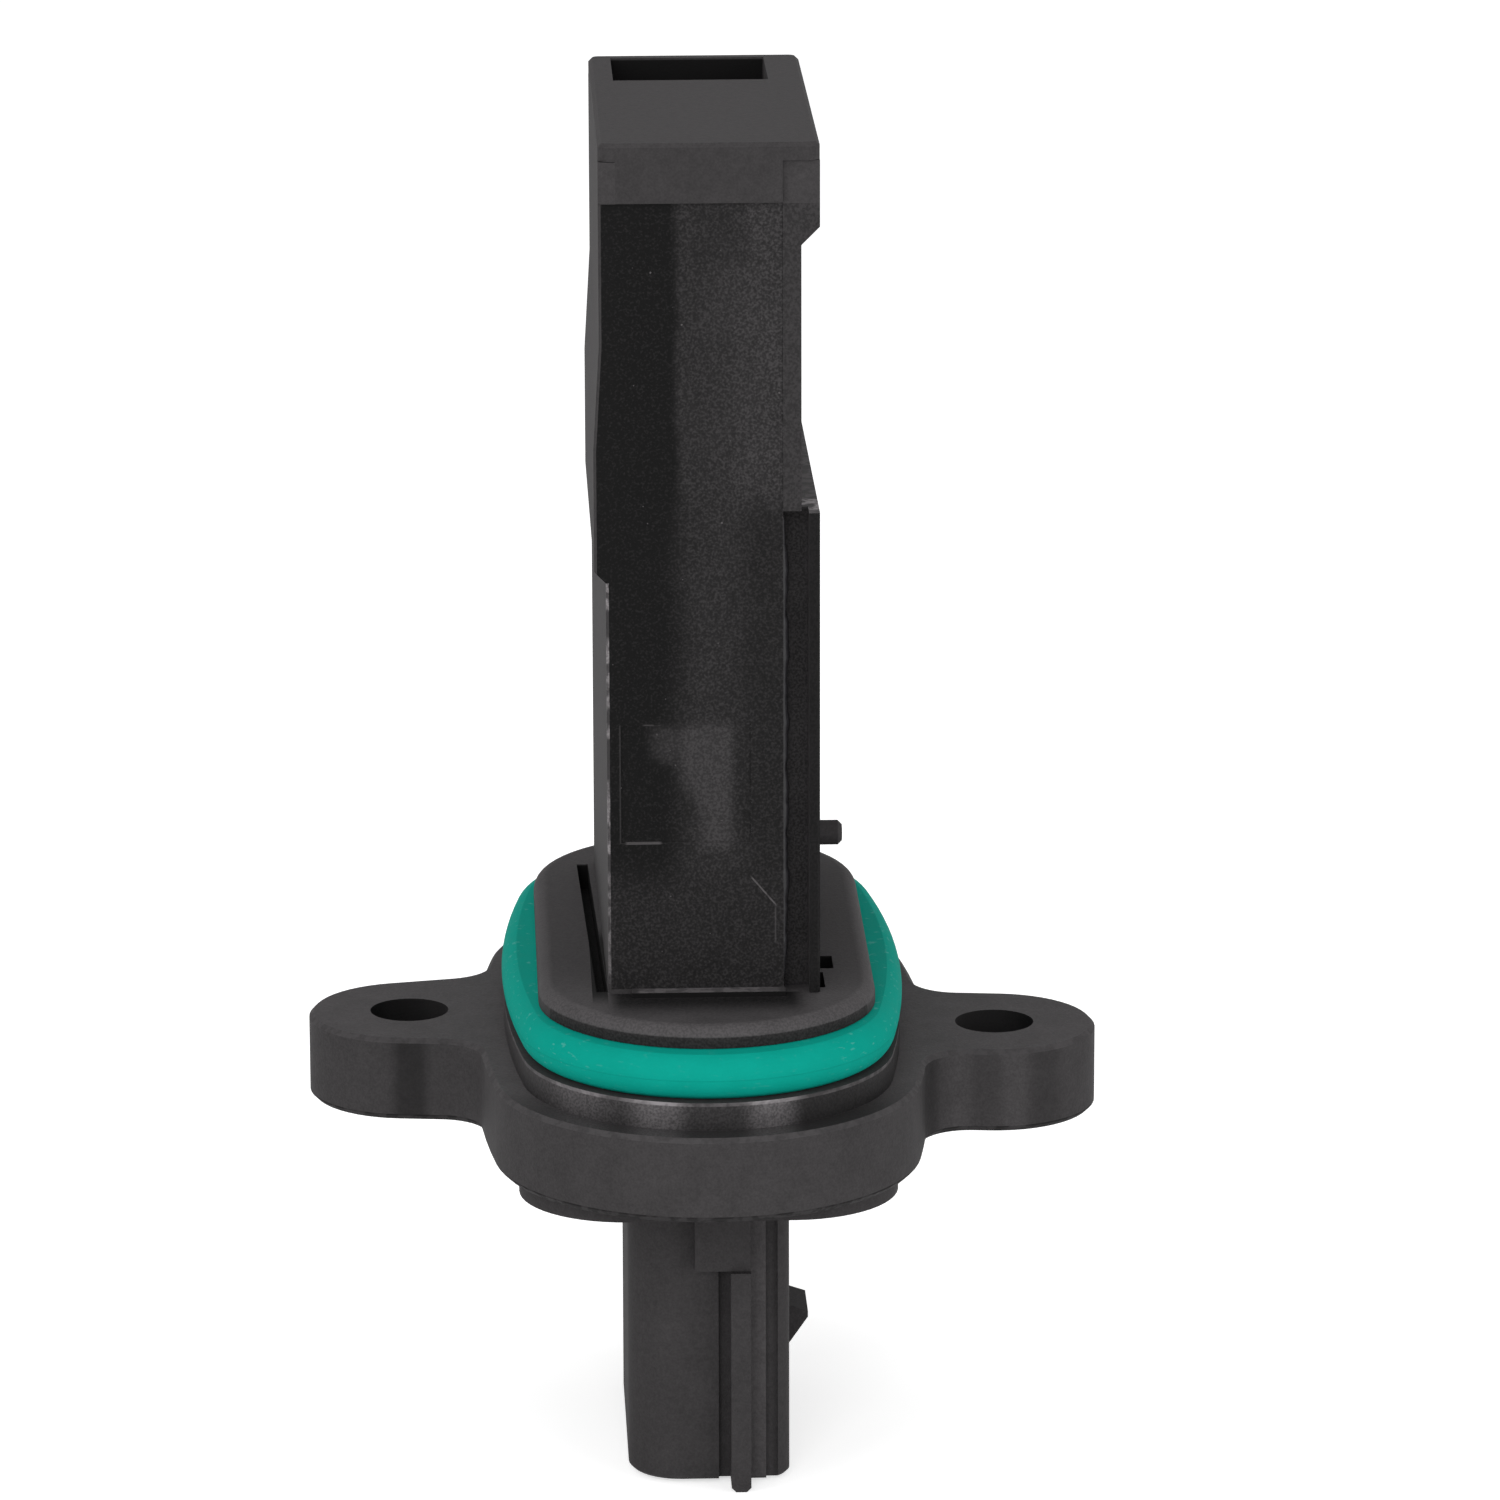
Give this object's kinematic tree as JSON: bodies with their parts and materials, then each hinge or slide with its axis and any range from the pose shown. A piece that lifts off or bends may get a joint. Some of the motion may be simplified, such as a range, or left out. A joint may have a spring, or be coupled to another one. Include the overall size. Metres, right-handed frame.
{
  "type": "mass airflow sensor",
  "caption": "Plug-in mass airflow sensor: flanged black housing with a long flat probe, inlet slot at the tip, green seal ring, two bolt ears and a plug socket.",
  "frame": {"origin": "middle of the flange's seat face, on the line between the two bolt holes", "axes": "+Z out of the seat face along the probe to its tip, +Y along the long axis of the collar, +X from ear to ear"},
  "size_m": [0.0601, 0.0624, 0.1048],
  "materials": {
    "housing_plastic": "fine satin moulded black",
    "cover_plastic": "fine satin moulded black",
    "seal_rubber": "smooth green rubber with a soft sheen",
    "adhesive": "cured dark adhesive",
    "terminal_metal": "tinned",
    "carrier_plastic": "plain black moulding",
    "base_metal": "plain stamped",
    "board": "green solder mask",
    "tongue_ceramic": "unglazed",
    "chip_glass": "polished die",
    "chip_plastic": "moulded package",
    "capacitor_body": "plain",
    "resistor_body": "glazed",
    "lead_metal": "plated wire",
    "bead_glass": "glass coated bead"
  },
  "bodies": {
    "root": {"housing": "housing_plastic", "left_bypass_cover": "cover_plastic", "right_bypass_cover": "cover_plastic", "circuit_cover": "cover_plastic", "cover_adhesive": "adhesive", "seal_ring": "seal_rubber", "terminal_carrier": "carrier_plastic", "base_plate": "base_metal", "circuit_board": "board", "sensing_tongue": "tongue_ceramic", "flow_chip": "chip_glass", "control_chip": "chip_plastic", "capacitors": "capacitor_body", "resistors": "resistor_body", "bond_wires": "lead_metal", "thermistor_bead": "bead_glass", "thermistor_lead_1": "lead_metal", "thermistor_lead_2": "lead_metal", "terminal_1": "terminal_metal", "terminal_2": "terminal_metal", "terminal_3": "terminal_metal", "terminal_4": "terminal_metal", "terminal_5": "terminal_metal"}
  },
  "joints": []
}
